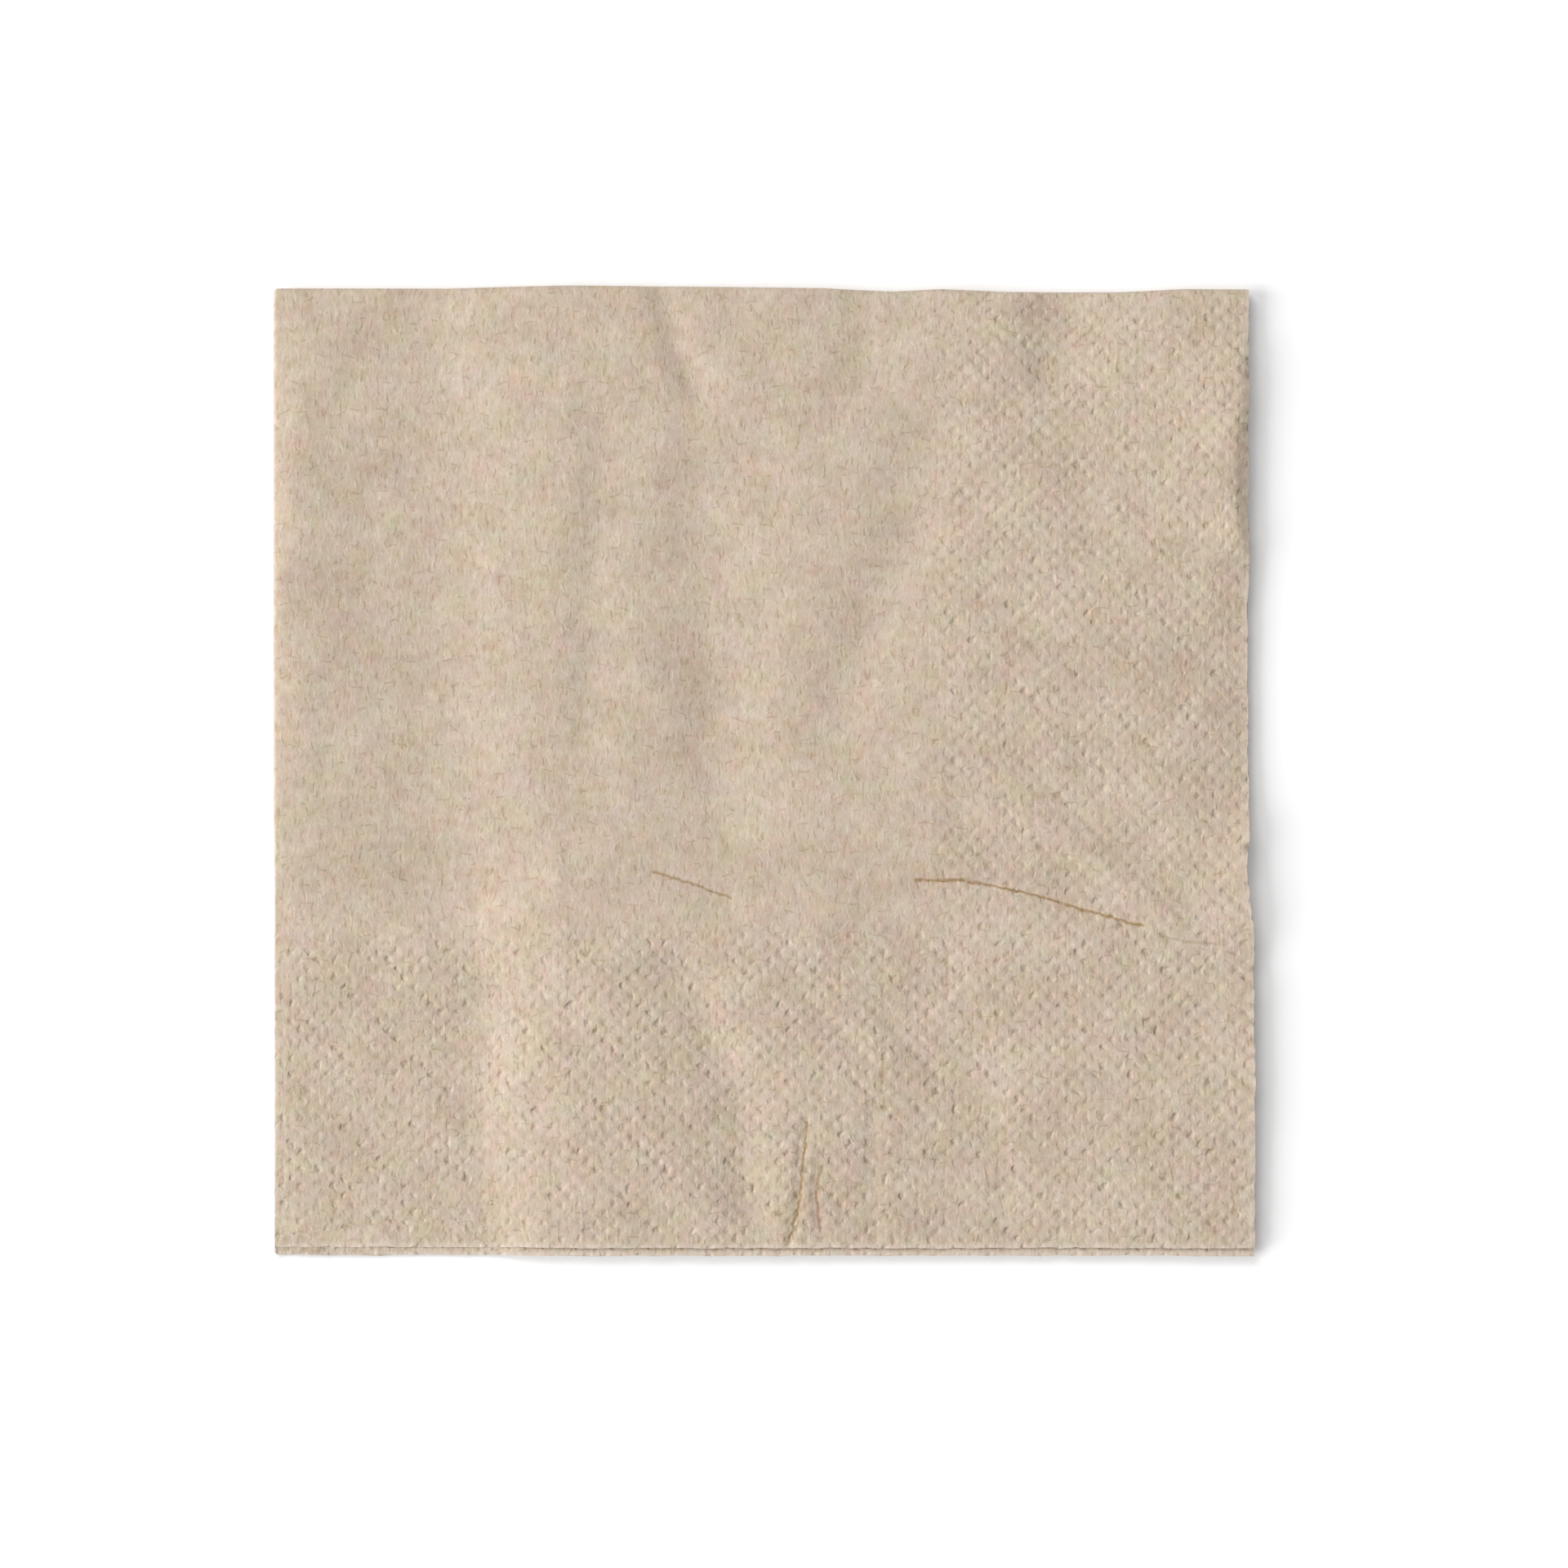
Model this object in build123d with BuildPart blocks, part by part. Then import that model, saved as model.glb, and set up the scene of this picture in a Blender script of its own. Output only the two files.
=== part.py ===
from build123d import *
import os
from math import pi

# A quarter-folded paper napkin: one sheet, folded in half twice, lying flat.
# +Z is up, and the origin is at the middle of the underside. The first fold runs
# along the -X side, the second along the +Y side. The cut edges are at +X and -Y.

# Driving dimensions, in millimetres
sheet_width = 241.3  # open sheet, across the first fold
sheet_length = 238.0  # open sheet, across the second fold
leaf_thickness = 0.24  # one leaf of the embossed paper
leaf_pitch = 0.62  # from one leaf to the next, through the air between them

# The first fold turns one leaf back over its neighbour
first_fold_radius = leaf_pitch / 2
flat_width = sheet_width / 2 - first_fold_radius * pi / 2
fold_reach = first_fold_radius + leaf_thickness / 2

# The second fold turns that pair of leaves back over itself
inner_fold_radius = leaf_pitch / 2
outer_fold_radius = inner_fold_radius + leaf_pitch
inner_length = sheet_length / 2 - inner_fold_radius * pi / 2
outer_length = sheet_length / 2 - outer_fold_radius * pi / 2
wrap_reach = outer_fold_radius + leaf_thickness / 2

# The outer leaf goes the long way round the second fold, so its cut edge stops short
set_back = inner_length - outer_length

# Heights of the leaves' middles, and the lines where the two folds start
outer_leaf_height = leaf_thickness / 2
inner_leaf_height = outer_leaf_height + leaf_pitch
middle_height = inner_leaf_height + leaf_pitch / 2
first_fold_x = (fold_reach - flat_width) / 2
second_fold_y = (inner_length - wrap_reach) / 2
right_edge_x = first_fold_x + flat_width
front_edge_y = second_fold_y - inner_length

with BuildPart() as napkin:
    # Section of the lower pair of leaves, joined by the round bend of the first fold
    section_plane = Plane(
        origin=(0, second_fold_y, 0), x_dir=(1, 0, 0), z_dir=(0, -1, 0)
    )
    with BuildSketch(section_plane) as pair_section:
        with BuildLine():
            Line((right_edge_x, outer_leaf_height), (first_fold_x, outer_leaf_height))
            CenterArc(
                (first_fold_x, outer_leaf_height + first_fold_radius),
                first_fold_radius,
                90,
                180,
            )
            Line((first_fold_x, inner_leaf_height), (right_edge_x, inner_leaf_height))
        trace(line_width=leaf_thickness)

    # The pair runs from the second fold to the cut edge
    extrude(amount=inner_length)

    # The outer leaf is cut back
    with BuildSketch(Plane.XY):
        with Locations((first_fold_x, front_edge_y)):
            Rectangle(flat_width, set_back, align=(Align.MIN, Align.MIN))
    extrude(amount=leaf_thickness, mode=Mode.SUBTRACT)

    # The bend is cut on a slant, from the outer leaf's edge to the inner leaf's
    with BuildSketch(Plane.YZ.offset(first_fold_x)):
        with BuildLine():
            Polyline(
                (front_edge_y, inner_leaf_height),
                (front_edge_y, 0),
                (front_edge_y + set_back, 0),
                (front_edge_y + set_back, outer_leaf_height),
                close=True,
            )
        make_face()
    extrude(amount=-2 * fold_reach, mode=Mode.SUBTRACT)

    # The upper pair is the lower pair's mirror image
    mirror(about=Plane.XY.offset(middle_height))

    # The second fold joins the two pairs
    fold_axis = Axis((0, second_fold_y, middle_height), (1, 0, 0))
    revolve(pair_section.sketch, axis=fold_axis, revolution_arc=180)

napkin.part.label = "napkin"

os.makedirs("parts", exist_ok=True)
export_step(napkin.part, "parts/napkin.step")

size = napkin.part.bounding_box().size
print(f"folded napkin {size.X:.2f} x {size.Y:.2f} x {size.Z:.2f} mm")
print(f"paper {napkin.part.volume:.0f} cubic mm, inner leaves stand out {set_back:.2f} mm")
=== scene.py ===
import math

import bmesh
import bpy
import numpy as np
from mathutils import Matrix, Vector, noise


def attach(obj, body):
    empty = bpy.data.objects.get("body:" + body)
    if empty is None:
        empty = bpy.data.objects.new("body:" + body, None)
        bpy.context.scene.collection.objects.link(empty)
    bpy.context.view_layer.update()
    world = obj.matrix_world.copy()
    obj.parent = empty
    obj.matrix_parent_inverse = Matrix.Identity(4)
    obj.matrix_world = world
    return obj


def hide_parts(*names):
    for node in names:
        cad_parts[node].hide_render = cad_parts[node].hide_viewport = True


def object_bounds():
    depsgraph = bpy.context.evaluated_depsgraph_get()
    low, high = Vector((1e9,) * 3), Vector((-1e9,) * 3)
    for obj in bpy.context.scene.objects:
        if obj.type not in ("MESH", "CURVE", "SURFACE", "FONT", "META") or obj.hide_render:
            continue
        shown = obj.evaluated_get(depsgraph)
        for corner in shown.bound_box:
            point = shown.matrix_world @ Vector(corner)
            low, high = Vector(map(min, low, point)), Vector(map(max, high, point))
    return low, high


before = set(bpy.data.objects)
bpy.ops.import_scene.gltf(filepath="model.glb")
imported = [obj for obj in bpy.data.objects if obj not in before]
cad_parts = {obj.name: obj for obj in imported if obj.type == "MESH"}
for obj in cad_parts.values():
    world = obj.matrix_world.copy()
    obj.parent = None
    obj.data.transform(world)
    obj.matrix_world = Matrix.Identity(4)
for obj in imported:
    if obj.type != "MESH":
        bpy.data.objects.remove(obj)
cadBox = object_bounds()
mm = 0.001

# One sheet of tissue, folded in half twice (millimetres)
sheet = {
    "width": 241.3,      # open sheet, across the first fold
    "length": 238.0,     # open sheet, across the second fold
    "thickness": 0.24,   # one leaf
    "pitch": 0.62,       # from one leaf to the next
    "columns": 112,      # coarse cells across the width
    "rows": 111,         # coarse cells along the length
    "bendCuts": 2,       # score lines each side of the first fold
    "wrapCuts": 4,       # score lines each side of the second fold
}

# Dots pressed into a broad band along the sheet's cut edges (millimetres)
emboss = {
    "band": 39.0,        # width of the band
    "ramp": 5.0,         # the dots fade in over this width
    "cell": 4,           # dots from one line of the diamond net to the next
    "depth": 0.26,       # deepest dots
    "shallow": 0.25,     # share of the depth that the shallowest dots have
    "rightShare": 0.8,   # depth along the right edge, against the front edge
    "filling": 0.6,      # depth of the dots between the net's lines, against those on them
    "rising": 0.75,      # depth along the lines that rise to the right, against the others
    "stray": 0.22,       # how far a dot may lie from its place
}

# Wrinkles of the stack (millimetres): the path of each one, how far it reaches to the
# right and to the left of someone walking along it, and its height (negative is a valley)
wrinkles = [
    ([(-39.5, 60), (-39, -6)], 30, 10, -0.8),
    ([(-57.5, 46), (-57.5, 6)], 4, 9, 0.3),
    ([(-36, -18), (-36, -60)], 150, 9.5, -1.9),
    ([(-13.5, 60), (-11.5, 54), (-9, 48)], 2.4, 4, -0.5),
    ([(-20.5, 42), (-20.3, 32), (-20, 18), (-21, 6)], 4, 5, -0.35),
    ([(-7.5, 33), (-6, 18), (-6, 6), (-5.5, -2)], 9, 12, -0.8),
    ([(20, 37), (16.5, 25), (13, 15), (11, 8)], 9, 7, -0.6),
    ([(58.5, 50), (58.5, 30)], 12, 3, 1.0),
    ([(61, -9), (61, -18)], 13, 3, 0.9),
    ([(61, 14), (61, 4)], 8, 8, -0.4),
    ([(-10, -26), (-5.5, -33), (-3, -41), (-1.5, -52)], 7, 5, -0.65),
    ([(21, -28), (25, -36), (26, -50)], 18, 14, -0.6),
    ([(37, -48), (38, -60)], 6, 20, -0.3),
    ([(61, -28), (61, -42)], 9, 3, 0.45),
    ([(12.5, 60), (13, 52)], 6, 9, -0.5),
    ([(37, 60), (36, 52)], 6, 12, -0.7),
    ([(-25.8, -9.5), (-24.6, -13)], 1.2, 1.0, 0.22),
    ([(-13.5, -12.4), (-9.5, -13.6), (-4, -15.6)], 0.8, 0.9, -0.25),
    ([(18.9, -13.5), (24.1, -13.4), (33, -15.1), (39.7, -17.2), (46.9, -19.1)], 0.5, 0.5, -0.3),
    ([(49, -20.2), (52, -21), (55.7, -21.3)], 0.5, 0.5, -0.12),
    ([(38, -9), (49, -17)], 3.0, 3, 0.3),
    ([(6, -28.5), (13, -35.5)], 1.4, 1.8, -0.2),
    ([(16, -31.5), (21, -36.5)], 1.4, 2.0, -0.2),
    ([(13.5, -43), (14, -57)], 1.8, 1.8, -0.15),
    ([(30, -51), (29.5, -56)], 2.0, 2.0, -0.15),
    ([(5.5, -43.4), (4.8, -50.3), (4.4, -54), (3.1, -58.4)], 0.45, 0.5, -0.3),
    ([(7.3, -48.7), (6.6, -51), (6.8, -54), (7.1, -56.7)], 0.4, 0.45, -0.25),
    ([(22.7, -21.5), (22.8, -28)], 0.45, 0.5, -0.15),
    ([(14.8, -34), (14.7, -38.5)], 0.4, 0.5, -0.15),
]

# How loosely the leaves lie (millimetres)
loose = {
    "rise": 0.30,                                # the whole stack
    "pressed": 0.20, "pressedReach": 2.0,        # pressed down towards the first fold
    "frontPress": 0.95, "rightPress": 0.3,       # pressed together at the cut edges
    "frontRise": 0.6, "rightRise": 0.1,          # lifted off the table at the cut edges
    "edgeReach": 6.0,
    "ragged": 0.22, "raggedSize": 2.2,           # how the cut edges stray
    "wander": 0.9, "wanderSize": 11.0,           # how far the wrinkles stray from their paths
    "broadHeight": 0.10, "broadSize": 9.0,
    "fineHeight": 0.035, "fineSize": 2.6,
    "underHeight": 0.22, "underSize": 16.0,      # where the stack stands off the table
}

# Where the outline strays from straight: place along the edge, then how far out
outline = {
    "right": [(60, -0.45), (36, -0.45), (31, -0.6), (27, -0.3), (22, -0.5), (-8, -0.4),
              (-12, -0.7), (-16, -0.35), (-20, 0.2), (-40, 0.35), (-60, 0.35)],
    "top": [(-60, -0.2), (-39, -0.2), (-24, 0.15), (-8, 0), (8, -0.2), (16, -0.6), (22, -0.3),
            (30, -0.65), (44, -0.7), (52, -0.3), (60, -0.35)],
}

leafMiddle = sheet["thickness"] / 2
bendRadius = sheet["pitch"] / 2
wrapRadius = bendRadius + sheet["pitch"]
stackMiddle = leafMiddle + wrapRadius
low, high = [corner / mm for corner in cadBox]
bendX = low.x + bendRadius + leafMiddle
wrapY = high.y - wrapRadius - leafMiddle


def scoreLines(bm, axis, reach, count):
    for step in range(-count, count + 1):
        across = [0.0, 0.0, 0.0]
        across[axis] = 1.0
        place = [step * reach / count * side for side in across]
        everything = bm.verts[:] + bm.edges[:] + bm.faces[:]
        bmesh.ops.bisect_plane(bm, geom=everything, dist=0.02, plane_co=place, plane_no=across)


def cutSheet():
    bm = bmesh.new()
    bmesh.ops.create_grid(bm, x_segments=sheet["columns"], y_segments=sheet["rows"], size=0.5)
    bmesh.ops.scale(bm, vec=(sheet["width"], sheet["length"], 1), verts=bm.verts)
    scoreLines(bm, 0, bendRadius * math.pi / 2, sheet["bendCuts"])
    scoreLines(bm, 1, wrapRadius * math.pi / 2, sheet["wrapCuts"])
    bmesh.ops.solidify(bm, geom=bm.faces[:], thickness=sheet["thickness"])
    heights = [v.co.z for v in bm.verts]
    middle = (max(heights) + min(heights)) / 2
    bmesh.ops.translate(bm, vec=(0, 0, -middle), verts=bm.verts)
    bmesh.ops.recalc_face_normals(bm, faces=bm.faces)
    return bm


# The underside of the half sheet that ends up outermost, and the embossed part of it
def isOuter(face):
    return face.normal.z < -0.5 and face.calc_center_median().x > 0


def isBanded(face):
    centre = face.calc_center_median()
    reach = emboss["band"] + emboss["ramp"] / 2
    return sheet["width"] / 2 - centre.x < reach or sheet["length"] / 2 - abs(centre.y) < reach


def refine(bm, wanted):
    faces = [f for f in bm.faces if wanted(f)]
    edges = {e for f in faces for e in f.edges}
    bmesh.ops.subdivide_edges(bm, edges=list(edges), cuts=1, use_grid_fill=True)


# Dots lie on every second corner of the half-cell grid, deeper along two sets of slanting lines
def pressDots(bm):
    stepX = sheet["width"] / sheet["columns"] / 2
    stepY = sheet["length"] / sheet["rows"] / 2
    pressed = 0
    for v in bm.verts:
        if v.co.z > 0 or v.co.x < stepX:
            continue
        i = (v.co.x + sheet["width"] / 2) / stepX
        j = (v.co.y + sheet["length"] / 2) / stepY
        if abs(i - round(i)) > 0.02 or abs(j - round(j)) > 0.02 or (round(i) + round(j)) % 2:
            continue
        rising = (round(i) + round(j)) // 2
        falling = (round(i) - round(j)) // 2
        inFront = emboss["band"] - (sheet["length"] / 2 - abs(v.co.y))
        inRight = emboss["band"] - (sheet["width"] / 2 - v.co.x)
        frontShare = min(max(0.5 + inFront / emboss["ramp"], 0), 1)
        rightShare = min(max(0.5 + inRight / emboss["ramp"], 0), 1) * emboss["rightShare"]
        chance = abs(noise.cell(Vector((round(i) * 1.31, round(j) * 1.17, 0.5))))
        strength = emboss["shallow"] + (1 - emboss["shallow"]) * chance
        if falling % emboss["cell"]:
            strength *= emboss["rising"] if rising % emboss["cell"] == 0 else emboss["filling"]
        stray = noise.noise_vector(Vector((round(i) * 0.37, round(j) * 0.41, 2.5))) * emboss["stray"]
        v.co += Vector((stray.x, stray.y, emboss["depth"] * strength * max(frontShare, rightShare)))
        pressed += 1
    return pressed


def layFlatMap(bm):
    flat = bm.loops.layers.uv.new("flatSheet")
    for face in bm.faces:
        for loop in face.loops:
            loop[flat].uv = loop.vert.co.xy * mm


# Both folds keep every length in the sheet: straight, round the bend, straight back
def foldSheet(points):
    a, b, t = points.T
    arc = bendRadius * math.pi / 2
    turn = np.clip(a / bendRadius, -math.pi / 2, math.pi / 2)
    straight = np.maximum(np.abs(a) - arc, 0)
    x = bendX + straight - (bendRadius - t) * np.cos(turn)
    z = leafMiddle + bendRadius - (bendRadius - t) * np.sin(turn)
    middle = leafMiddle + bendRadius - bendRadius * np.sin(turn)
    radius = stackMiddle - middle
    reach = radius * math.pi / 2
    turn = np.clip((b + reach) / radius, 0, math.pi)
    before = np.minimum(b + reach, 0)
    after = np.maximum(b - reach, 0)
    y = wrapY + before - after + (stackMiddle - z) * np.sin(turn)
    z = stackMiddle - (stackMiddle - z) * np.cos(turn)
    return np.stack([x, y, z], axis=1)


# Height of one wrinkle at each place: it falls away from its path on either side and at its ends
def wrinkleHeight(x, y, path, rightReach, leftReach, height):
    nearest = np.full(x.shape, 1e9)
    across = np.zeros(x.shape)
    beyond = np.zeros(x.shape)
    side = np.zeros(x.shape)
    last = len(path) - 2
    for k, ((x0, y0), (x1, y1)) in enumerate(zip(path, path[1:])):
        dx, dy = x1 - x0, y1 - y0
        length = math.hypot(dx, dy)
        along = ((x - x0) * dx + (y - y0) * dy) / length ** 2
        past = np.where(along < 0, -along * (k == 0), np.maximum(along - 1, 0) * (k == last)) * length
        along = np.clip(along, -1e9 if k == 0 else 0, 1e9 if k == last else 1)
        offX = x - x0 - along * dx
        offY = y - y0 - along * dy
        distance = np.hypot(offX, offY)
        closeness = np.hypot(distance, past)
        closer = closeness < nearest
        nearest = np.where(closer, closeness, nearest)
        across = np.where(closer, distance, across)
        beyond = np.where(closer, past, beyond)
        side = np.where(closer, offY * dx - offX * dy, side)
    reach = np.where(side < 0, rightReach, leftReach)
    sharp = 0.15 * min(rightReach, leftReach)
    fade = 0.9 * min(rightReach, leftReach) + 0.5
    fall = (np.sqrt(across ** 2 + sharp ** 2) - sharp) / reach
    return height * np.exp(-2.2 * fall ** 1.4 - (beyond / fade) ** 2)


def uneven(x, y, size, seed):
    return np.array([noise.noise(Vector((px / size, py / size, seed))) for px, py in zip(x, y)])


def rumple(points):
    x, y, z = points.T.copy()
    top = high.z
    lift = loose["rise"] + loose["broadHeight"] * uneven(x, y, loose["broadSize"], 3.1)
    lift += loose["fineHeight"] * uneven(x, y * 0.7, loose["fineSize"], 8.4)
    astrayX = x + loose["wander"] * uneven(x, y, loose["wanderSize"], 1.3)
    astrayY = y + loose["wander"] * uneven(x, y, loose["wanderSize"], 6.8)
    for wrinkle in wrinkles:
        lift += wrinkleHeight(astrayX, astrayY, *wrinkle)
    inward = np.maximum(x - low.x, 0)
    lift -= loose["pressed"] * np.exp(-(inward / loose["pressedReach"]) ** 1.5)
    frontShare = np.exp(-(np.maximum(y - low.y, 0) / loose["edgeReach"]) ** 1.5)
    rightShare = np.exp(-(np.maximum(high.x - x, 0) / loose["edgeReach"]) ** 1.5)
    rise = np.maximum(loose["frontRise"] * frontShare, loose["rightRise"] * rightShare)
    under = loose["underHeight"] * np.clip(uneven(x, y, loose["underSize"], 5.7), 0, 1)
    under += rise
    lift += rise - np.maximum(loose["frontPress"] * frontShare, loose["rightPress"] * rightShare)
    z = under + z * (top + lift - under) / top
    rightPlaces, rightOut = zip(*sorted(outline["right"]))
    topPlaces, topOut = zip(*sorted(outline["top"]))
    x += np.interp(y, rightPlaces, rightOut) * np.clip((x - high.x + 8) / 8, 0, 1)
    y += np.interp(x, topPlaces, topOut) * np.clip((y - high.y + 8) / 8, 0, 1)
    ragged = loose["ragged"] * uneven(x + 40 * np.round(z), y, loose["raggedSize"], 9.2)
    x += ragged * np.clip(1 - (high.x - x) / 2, 0, 1)
    y += ragged * np.clip(1 - (y - low.y) / 2.5, 0, 1)
    return np.stack([x, y, z], axis=1)


def makeNapkin():
    bm = cutSheet()
    refine(bm, isOuter)
    bm.normal_update()
    refine(bm, lambda face: isOuter(face) and isBanded(face))
    layFlatMap(bm)
    print("sheet cut and refined:", sum(len(f.verts) - 2 for f in bm.faces), "triangles")
    print("dots pressed:", pressDots(bm))
    mesh = bpy.data.meshes.new("foldedNapkin")
    bm.to_mesh(mesh)
    bm.free()
    flat = np.zeros(len(mesh.vertices) * 3)
    mesh.vertices.foreach_get("co", flat)
    shaped = rumple(foldSheet(flat.reshape(-1, 3))) * mm
    mesh.vertices.foreach_set("co", shaped.ravel())
    mesh.polygons.foreach_set("use_smooth", [True] * len(mesh.polygons))
    mesh.set_sharp_from_angle(angle=math.radians(55))
    mesh.update()
    piece = bpy.data.objects.new("foldedNapkin", mesh)
    bpy.context.scene.collection.objects.link(piece)
    print("sheet folded and rumpled")
    return piece


# Unbleached tissue: colours are linear, lengths in millimetres
paper = {
    "dark": (0.362, 0.260, 0.158),
    "pale": (0.800, 0.688, 0.578),
    "fibresAndGlow": (0.72, 0.62, 0.53),   # paler at the cut edges: loosened fibres, and painted glow of light through the thin edges
    "fibresAndGlowWidth": 0.9,
    "roughness": 0.95,
    "crepeTone": 0.33, "grainTone": 0.24, "mottleTone": 0.48, "cloudTone": 0.42,
    "paleTone": 0.08, "darkTone": -0.20,
    "hueDrift": 0.26,
    "bump": 0.035, "dotBump": 0.17,
    # the darkening of each dot's middle is painted shade in the pressed dimple
    "dotSize": 1.25, "dotPaintedShade": 0.17, "dotStray": 1.2,
    # the crease lines are painted shade in the folds of the sharp creases
    "creasePaintedShade": 0.50, "creaseWidth": 0.32,
    "shadow": (0.80, 1.0, 1.30),    # painted shade: how much each colour loses in a dot or a crease
}


def addNode(tree, kind, inputs=None, **settings):
    node = tree.nodes.new(kind)
    for name, value in settings.items():
        setattr(node, name, value)
    for name, value in (inputs or {}).items():
        if isinstance(value, bpy.types.NodeSocket):
            tree.links.new(value, node.inputs[name])
        else:
            node.inputs[name].default_value = value
    return node


def calculate(tree, operation, first, second=0.0, third=0.0):
    inputs = {0: first, 1: second, 2: third}
    return addNode(tree, "ShaderNodeMath", inputs, operation=operation).outputs[0]


def remap(tree, value, fromLow, fromHigh, toLow=0.0, toHigh=1.0):
    inputs = {"Value": value, "From Min": fromLow, "From Max": fromHigh, "To Min": toLow, "To Max": toHigh}
    return addNode(tree, "ShaderNodeMapRange", inputs, interpolation_type="SMOOTHSTEP").outputs["Result"]


def cloud(tree, place, scale, detail=2.0, shift=0.0):
    inputs = {"Vector": place, "Scale": (scale[0], scale[1], 1.0), "Location": (shift, shift * 1.7, shift)}
    stretched = addNode(tree, "ShaderNodeMapping", inputs).outputs["Vector"]
    inputs = {"Vector": stretched, "Scale": 1.0, "Detail": detail, "Roughness": 0.55}
    return addNode(tree, "ShaderNodeTexNoise", inputs, noise_dimensions="3D").outputs["Fac"]


# One straight fibre in each cell of the paper, turned about the upright by a random lean
def fibres(tree, place, cell, length, width, turn, lean, shift):
    moved = addNode(tree, "ShaderNodeVectorMath", {0: place, 1: (shift, shift * 2.3, 0)}, operation="ADD")
    inputs = {"Vector": moved.outputs[0], "Scale": 1 / cell}
    cells = addNode(tree, "ShaderNodeTexVoronoi", inputs, voronoi_dimensions="2D")
    chance = addNode(tree, "ShaderNodeSeparateColor", {"Color": cells.outputs["Color"]})
    fromMiddle = addNode(
        tree, "ShaderNodeVectorMath", {0: moved.outputs[0], 1: cells.outputs["Position"]}, operation="SUBTRACT"
    )
    angle = calculate(tree, "MULTIPLY_ADD", chance.outputs[0], 2 * lean, turn - lean)
    inputs = {"Vector": fromMiddle.outputs[0], "Angle": angle}
    turned = addNode(tree, "ShaderNodeVectorRotate", inputs, rotation_type="Z_AXIS").outputs[0]
    parts = addNode(tree, "ShaderNodeSeparateXYZ", {"Vector": turned})
    across = calculate(tree, "ABSOLUTE", parts.outputs["X"])
    along = calculate(tree, "ABSOLUTE", parts.outputs["Y"])
    reach = calculate(tree, "MULTIPLY_ADD", chance.outputs[1], length / 3, length / 6)
    narrow = remap(tree, across, width, width * 0.25)
    ending = remap(tree, calculate(tree, "DIVIDE", along, reach), 1.0, 0.6)
    return calculate(tree, "MULTIPLY", narrow, ending)


# The pressed dots again, on the same net, for their round edges: 1 in a dot's middle
def dotNet(tree, place):
    stepX = sheet["width"] / sheet["columns"] / 2
    stepY = sheet["length"] / sheet["rows"] / 2
    parts = addNode(tree, "ShaderNodeSeparateXYZ", {"Vector": jolt(tree, place, 0.9, paper["dotStray"])})
    i = calculate(tree, "MULTIPLY_ADD", parts.outputs["X"], 0.5 / stepX, sheet["columns"] / 2)
    j = calculate(tree, "MULTIPLY_ADD", parts.outputs["Y"], 0.5 / stepY, sheet["rows"] / 2)
    rising = calculate(tree, "ADD", i, j)
    falling = calculate(tree, "SUBTRACT", i, j)
    lines = []
    offsets = []
    wholes = []
    for count in (rising, falling):
        whole = calculate(tree, "ROUND", count)
        wholes.append(whole)
        inCell = calculate(tree, "FLOORED_MODULO", whole, emboss["cell"])
        lines.append(calculate(tree, "LESS_THAN", inCell, 0.5))
        offsets.append(calculate(tree, "SUBTRACT", count, whole))
    squares = calculate(tree, "MULTIPLY", offsets[0], offsets[0])
    squares = calculate(tree, "MULTIPLY_ADD", offsets[1], offsets[1], squares)
    distance = calculate(tree, "SQRT", squares)
    spacing = math.hypot(stepX, stepY)
    inDot = remap(tree, distance, paper["dotSize"] / 2 / spacing, 0.0)
    number = addNode(tree, "ShaderNodeCombineXYZ", {"X": wholes[0], "Y": wholes[1]}).outputs[0]
    chance = addNode(tree, "ShaderNodeTexWhiteNoise", {"Vector": number}, noise_dimensions="2D").outputs["Value"]
    strength = remap(tree, chance, 0.0, 1.0, emboss["shallow"])
    onRising = remap(tree, lines[0], 0.0, 1.0, emboss["filling"], emboss["rising"])
    strength = calculate(tree, "MULTIPLY", strength, calculate(tree, "MAXIMUM", onRising, lines[1]))
    inDot = calculate(tree, "MULTIPLY", inDot, strength)
    fromRight = calculate(tree, "SUBTRACT", sheet["width"] / 2, calculate(tree, "ABSOLUTE", parts.outputs["X"]))
    fromFront = calculate(tree, "SUBTRACT", sheet["length"] / 2, calculate(tree, "ABSOLUTE", parts.outputs["Y"]))
    inner, outer = emboss["band"] + emboss["ramp"] / 2, emboss["band"] - emboss["ramp"] / 2
    rightShare = remap(tree, fromRight, inner, outer, 0.0, emboss["rightShare"])
    frontShare = remap(tree, fromFront, inner, outer)
    share = calculate(tree, "MAXIMUM", rightShare, frontShare)
    edge = calculate(tree, "MINIMUM", fromRight, fromFront)
    return calculate(tree, "MULTIPLY", inDot, share), edge


# The same place, moved a little by a noise of the given scale
def jolt(tree, place, scale, reach):
    wander = addNode(tree, "ShaderNodeTexNoise", {"Vector": place, "Scale": scale, "Detail": 1.0})
    centred = addNode(
        tree, "ShaderNodeVectorMath", {0: wander.outputs["Color"], 1: (0.5, 0.5, 0.5)}, operation="SUBTRACT"
    )
    inputs = {0: centred.outputs[0], 1: (reach, reach, 0.0), 2: place}
    return addNode(tree, "ShaderNodeVectorMath", inputs, operation="MULTIPLY_ADD").outputs[0]


# The sheet's own place that ends up at x, y on top of the stack
def flatPlace(x, y):
    across = x - bendX + bendRadius * math.pi / 2
    return Vector((across, wrapY + wrapRadius * math.pi / 2 - y, 0))
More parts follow.
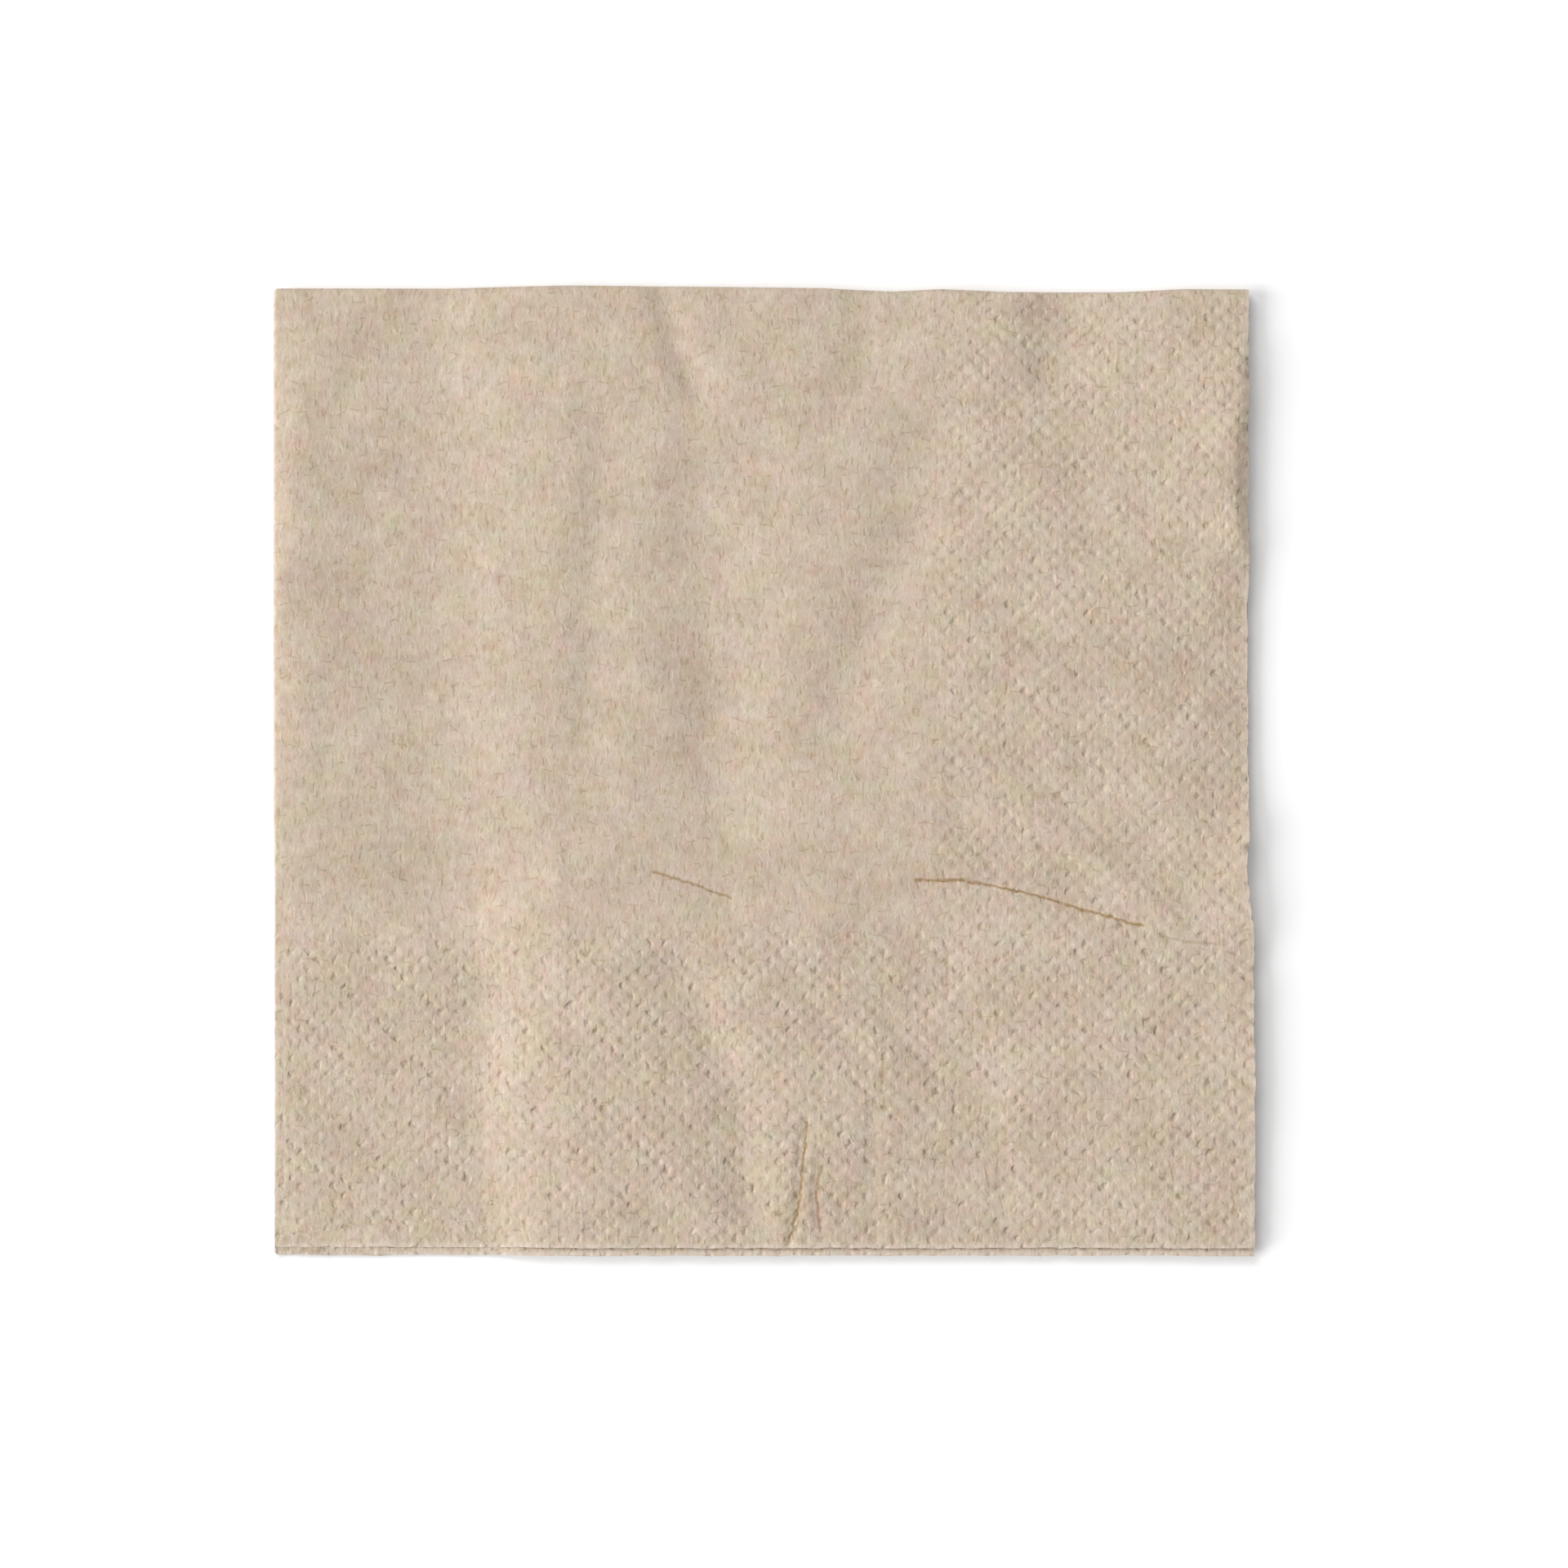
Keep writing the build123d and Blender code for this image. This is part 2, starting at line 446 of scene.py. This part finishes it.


# The sharp creases, where painted shade darkens the paper: up to 1 on their lines
def creaseShadeLines(tree, place):
    strayed = jolt(tree, place, 1.1, 0.7)
    darkest = 0.0
    for path, rightReach, leftReach, height in wrinkles:
        if max(rightReach, leftReach) > 1:
            continue
        for (x0, y0), (x1, y1) in zip(path, path[1:]):
            start = flatPlace(x0, y0)
            run = flatPlace(x1, y1) - start
            offset = addNode(tree, "ShaderNodeVectorMath", {0: strayed, 1: start}, operation="SUBTRACT").outputs[0]
            inputs = {0: offset, 1: run / run.length_squared}
            along = addNode(tree, "ShaderNodeVectorMath", inputs, operation="DOT_PRODUCT").outputs["Value"]
            along = addNode(tree, "ShaderNodeClamp", {"Value": along}).outputs[0]
            foot = addNode(tree, "ShaderNodeVectorMath", {0: run, "Scale": along}, operation="SCALE").outputs[0]
            apart = addNode(tree, "ShaderNodeVectorMath", {0: offset, 1: foot}, operation="DISTANCE").outputs["Value"]
            line = remap(tree, apart, paper["creaseWidth"], 0.0, 0.0, min(abs(height) / 0.3, 1))
            darkest = calculate(tree, "MAXIMUM", line, darkest)
    return darkest


def mixColours(tree, share, first, second):
    inputs = {"Factor": share, "A": first, "B": second}
    return addNode(tree, "ShaderNodeMix", inputs, data_type="RGBA").outputs["Result"]


def paperMaterial():
    material = bpy.data.materials.new("unbleachedTissue")
    material.use_nodes = True
    tree = material.node_tree
    shader = tree.nodes["Principled BSDF"]
    flat = addNode(tree, "ShaderNodeUVMap", uv_map="flatSheet").outputs["UV"]
    place = addNode(tree, "ShaderNodeVectorMath", {0: flat, "Scale": 1 / mm}, operation="SCALE").outputs[0]
    bent = jolt(tree, place, 0.9, 0.5)
    crepe = cloud(tree, bent, (2.4, 0.8), 1.0, 4.0)
    grain = cloud(tree, place, (3.2, 2.6), 1.0, 11.0)
    mottle = cloud(tree, place, (0.8, 0.6), 2.0, 21.0)
    clouds = cloud(tree, place, (0.16, 0.12), 2.0, 47.0)
    paleUpright = fibres(tree, bent, 1.3, 1.7, 0.16, 0.0, 0.3, 7.0)
    paleLoose = fibres(tree, bent, 2.3, 2.2, 0.14, 0.0, 1.2, 31.0)
    darkUpright = fibres(tree, bent, 1.5, 1.5, 0.16, 0.0, 0.3, 57.0)
    darkLevel = fibres(tree, bent, 3.4, 1.8, 0.15, 1.57, 0.5, 83.0)
    pale = calculate(tree, "MAXIMUM", paleUpright, paleLoose)
    dark = calculate(tree, "MAXIMUM", darkUpright, darkLevel)
    tones = [
        (crepe, paper["crepeTone"]), (grain, paper["grainTone"]),
        (mottle, paper["mottleTone"]), (clouds, paper["cloudTone"]),
    ]
    tone = calculate(tree, "MULTIPLY_ADD", pale, paper["paleTone"], 0.5 - sum(t for _, t in tones) / 2)
    tone = calculate(tree, "MULTIPLY_ADD", dark, paper["darkTone"], tone)
    for field, strength in tones:
        tone = calculate(tree, "MULTIPLY_ADD", field, strength, tone)
    colour = mixColours(tree, tone, (*paper["dark"], 1), (*paper["pale"], 1))
    hue = addNode(tree, "ShaderNodeTexNoise", {"Vector": place, "Scale": 0.28, "Detail": 3.0, "Roughness": 0.75})
    drift = addNode(
        tree, "ShaderNodeVectorMath",
        {0: hue.outputs["Color"], 1: (paper["hueDrift"],) * 3, 2: (1 - paper["hueDrift"] / 2,) * 3},
        operation="MULTIPLY_ADD",
    )
    colour = addNode(tree, "ShaderNodeVectorMath", {0: colour, 1: drift.outputs[0]}, operation="MULTIPLY").outputs[0]
    dots, edge = dotNet(tree, place)
    # Painted shade: the middle of each pressed dot is darkened as if shade fell in the dimple
    paintedShade = calculate(tree, "MULTIPLY", calculate(tree, "MULTIPLY", dots, dots), paper["dotPaintedShade"])
    # Painted shade along the sharp creases, broken up by the mottle
    creaseShade = calculate(tree, "MULTIPLY", creaseShadeLines(tree, place), remap(tree, mottle, 0.2, 0.48))
    paintedShade = calculate(tree, "MULTIPLY_ADD", creaseShade, paper["creasePaintedShade"], paintedShade)
    shadeLost = addNode(tree, "ShaderNodeVectorMath", {0: paper["shadow"], "Scale": paintedShade}, operation="SCALE").outputs[0]
    kept = addNode(tree, "ShaderNodeVectorMath", {0: (1, 1, 1), 1: shadeLost}, operation="SUBTRACT").outputs[0]
    colour = addNode(tree, "ShaderNodeVectorMath", {0: colour, 1: kept}, operation="MULTIPLY").outputs[0]
    # Paler near the cut edges: loosened fibres with a painted glow of light through the thin paper
    ragged = calculate(tree, "MULTIPLY_ADD", mottle, -0.6, calculate(tree, "ADD", edge, 0.3))
    fibresAndGlow = remap(tree, ragged, paper["fibresAndGlowWidth"], 0.0)
    colour = mixColours(tree, calculate(tree, "MULTIPLY", fibresAndGlow, 0.6), colour, (*paper["fibresAndGlow"], 1))
    tree.links.new(colour, shader.inputs["Base Color"])
    height = calculate(tree, "MULTIPLY_ADD", pale, 0.3, crepe)
    height = calculate(tree, "MULTIPLY_ADD", dark, -0.3, height)
    height = calculate(tree, "MULTIPLY_ADD", grain, 0.6, height)
    height = calculate(tree, "MULTIPLY_ADD", dots, -paper["dotBump"] / paper["bump"], height)
    bump = addNode(tree, "ShaderNodeBump", {"Height": height, "Strength": 1.0, "Distance": paper["bump"] * mm})
    tree.links.new(bump.outputs["Normal"], shader.inputs["Normal"])
    shader.inputs["Roughness"].default_value = paper["roughness"]
    shader.inputs["Specular IOR Level"].default_value = 0.1
    return material


napkin = makeNapkin()
napkin.data.materials.append(paperMaterial())
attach(napkin, "root")
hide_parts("napkin")
print("paper finished")

# The place where it lies: lamp levels are shares of plain full light, sizes in metres
studio = {
    "floorSize": 2.0,
    "floorWhite": 0.94,
    "floorGlow": 0.15,
    "skyLevel": 0.25,
    "keyLevel": 0.50,
    "fillLevel": 0.38,
}


# A level of 1 lights a sheet facing the lamp so that its colour renders as written
def softLamp(name, place, size, level):
    lamp = bpy.data.lights.new(name, "AREA")
    lamp.shape = "RECTANGLE"
    lamp.size, lamp.size_y = size
    distance = Vector(place).length
    lamp.energy = level * (math.pi * distance) ** 2 / (place[2] / distance)
    lampObject = bpy.data.objects.new(name, lamp)
    lampObject.location = place
    lampObject.rotation_euler = Vector(place).to_track_quat("Z", "Y").to_euler()
    bpy.context.scene.collection.objects.link(lampObject)


# Rays that see the surface itself, straight or in a reflection
def seenRays(tree):
    rays = addNode(tree, "ShaderNodeLightPath")
    seen = calculate(tree, "MAXIMUM", rays.outputs["Is Camera Ray"], rays.outputs["Is Glossy Ray"])
    return calculate(tree, "MAXIMUM", seen, rays.outputs["Is Transmission Ray"])


def makeFloor():
    bm = bmesh.new()
    bmesh.ops.create_grid(bm, x_segments=1, y_segments=1, size=studio["floorSize"])
    bmesh.ops.translate(bm, vec=(0, 0, (low.z - 0.02) * mm), verts=bm.verts)
    mesh = bpy.data.meshes.new("floor")
    bm.to_mesh(mesh)
    bm.free()
    floor = bpy.data.objects.new("floor", mesh)
    bpy.context.scene.collection.objects.link(floor)
    material = bpy.data.materials.new("paleFloor")
    material.use_nodes = True
    tree = material.node_tree
    shader = tree.nodes["Principled BSDF"]
    shader.inputs["Base Color"].default_value = (*[studio["floorWhite"]] * 3, 1)
    shader.inputs["Roughness"].default_value = 1.0
    shader.inputs["Specular IOR Level"].default_value = 0.0
    shader.inputs["Emission Color"].default_value = (1, 1, 1, 1)
    glow = calculate(tree, "MULTIPLY", seenRays(tree), studio["floorGlow"])
    tree.links.new(glow, shader.inputs["Emission Strength"])
    mesh.materials.append(material)


def makeSky():
    world = bpy.data.worlds.new("paleSky")
    bpy.context.scene.world = world
    world.use_nodes = True
    tree = world.node_tree
    strength = remap(tree, seenRays(tree), 0.0, 1.0, studio["skyLevel"], 1.0)
    background = tree.nodes["Background"]
    background.inputs["Color"].default_value = (1, 1, 1, 1)
    tree.links.new(strength, background.inputs["Strength"])


makeFloor()
makeSky()
softLamp("keyLamp", (-2.4, -0.5, 1.3), (2.0, 2.0), studio["keyLevel"])
softLamp("fillLamp", (-1.0, 1.7, 2.1), (1.6, 1.6), studio["fillLevel"])

# Straight down on the napkin (millimetres)
eye = {"lens": 100, "frameWidth": 193.2, "aim": (2.66, -1.6)}
camera = bpy.data.cameras.new("camera")
camera.lens = eye["lens"]
cameraObject = bpy.data.objects.new("camera", camera)
cameraHeight = eye["frameWidth"] * camera.lens / camera.sensor_width
cameraObject.location = (eye["aim"][0] * mm, eye["aim"][1] * mm, (high.z + cameraHeight) * mm)
bpy.context.scene.collection.objects.link(cameraObject)
bpy.context.scene.camera = cameraObject
bpy.context.scene.view_settings.view_transform = "Standard"
print("studio and camera ready")
